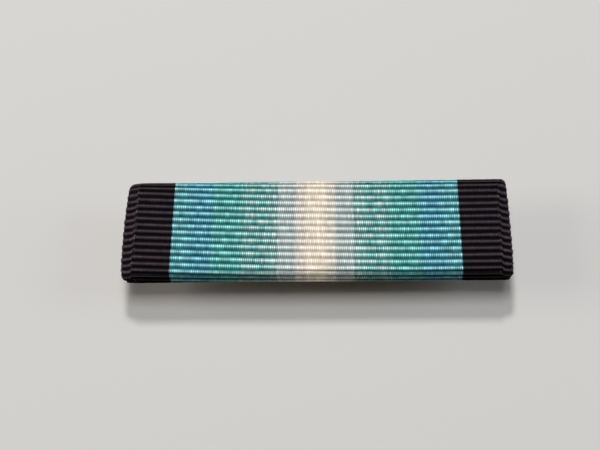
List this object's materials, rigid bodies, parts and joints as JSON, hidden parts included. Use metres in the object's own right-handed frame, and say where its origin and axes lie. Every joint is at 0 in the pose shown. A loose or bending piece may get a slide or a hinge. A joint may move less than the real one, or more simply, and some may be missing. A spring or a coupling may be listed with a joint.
{
  "type": "service ribbon bar",
  "caption": "Woven service ribbon folded over a brass plate that slides on a pin-back mounting bar with a hinged pin and a safety catch.",
  "frame": {"origin": "under the middle of the bar, on the plane that the pin fittings rest on when the bar lies face up", "axes": "+X along the bar's length, +Y across its width, +Z out of the ribbon's face"},
  "size_m": [0.034, 0.0096, 0.0044],
  "materials": {
    "woven_ribbon": "ribbed weave with black, blue, green and white stripes",
    "plate_brass": "satin, lightly tarnished",
    "bar_brass": "satin",
    "fitting_nickel": "nickel plated",
    "pin_steel": "drawn and polished"
  },
  "bodies": {
    "pin": {"brooch_pin": "pin_steel"},
    "holder": {"mounting_bar": "bar_brass", "hinge_bracket": "fitting_nickel", "hinge_rivet": "pin_steel", "catch_housing": "fitting_nickel"},
    "ribbon_unit": {"ribbon": "woven_ribbon", "front_plate": "plate_brass", "slide_channel": "plate_brass"},
    "catch_lock": {"catch_rotor": "fitting_nickel"}
  },
  "joints": [
    {"name": "pin_hinge", "type": "hinge", "parent": "pin", "child": "holder", "pos_m": [-0.0115, 0, 0.001], "axis": [0, -1, 0], "range_deg": [0, 100]},
    {"name": "unit_slide", "type": "slide", "parent": "holder", "child": "ribbon_unit", "axis": [1, 0, 0], "range_m": [-0.036, 0.036]},
    {"name": "catch_turn", "type": "hinge", "parent": "holder", "child": "catch_lock", "pos_m": [0.0115, 0, 0.001], "axis": [1, 0, 0], "range_deg": [0, 120]}
  ]
}
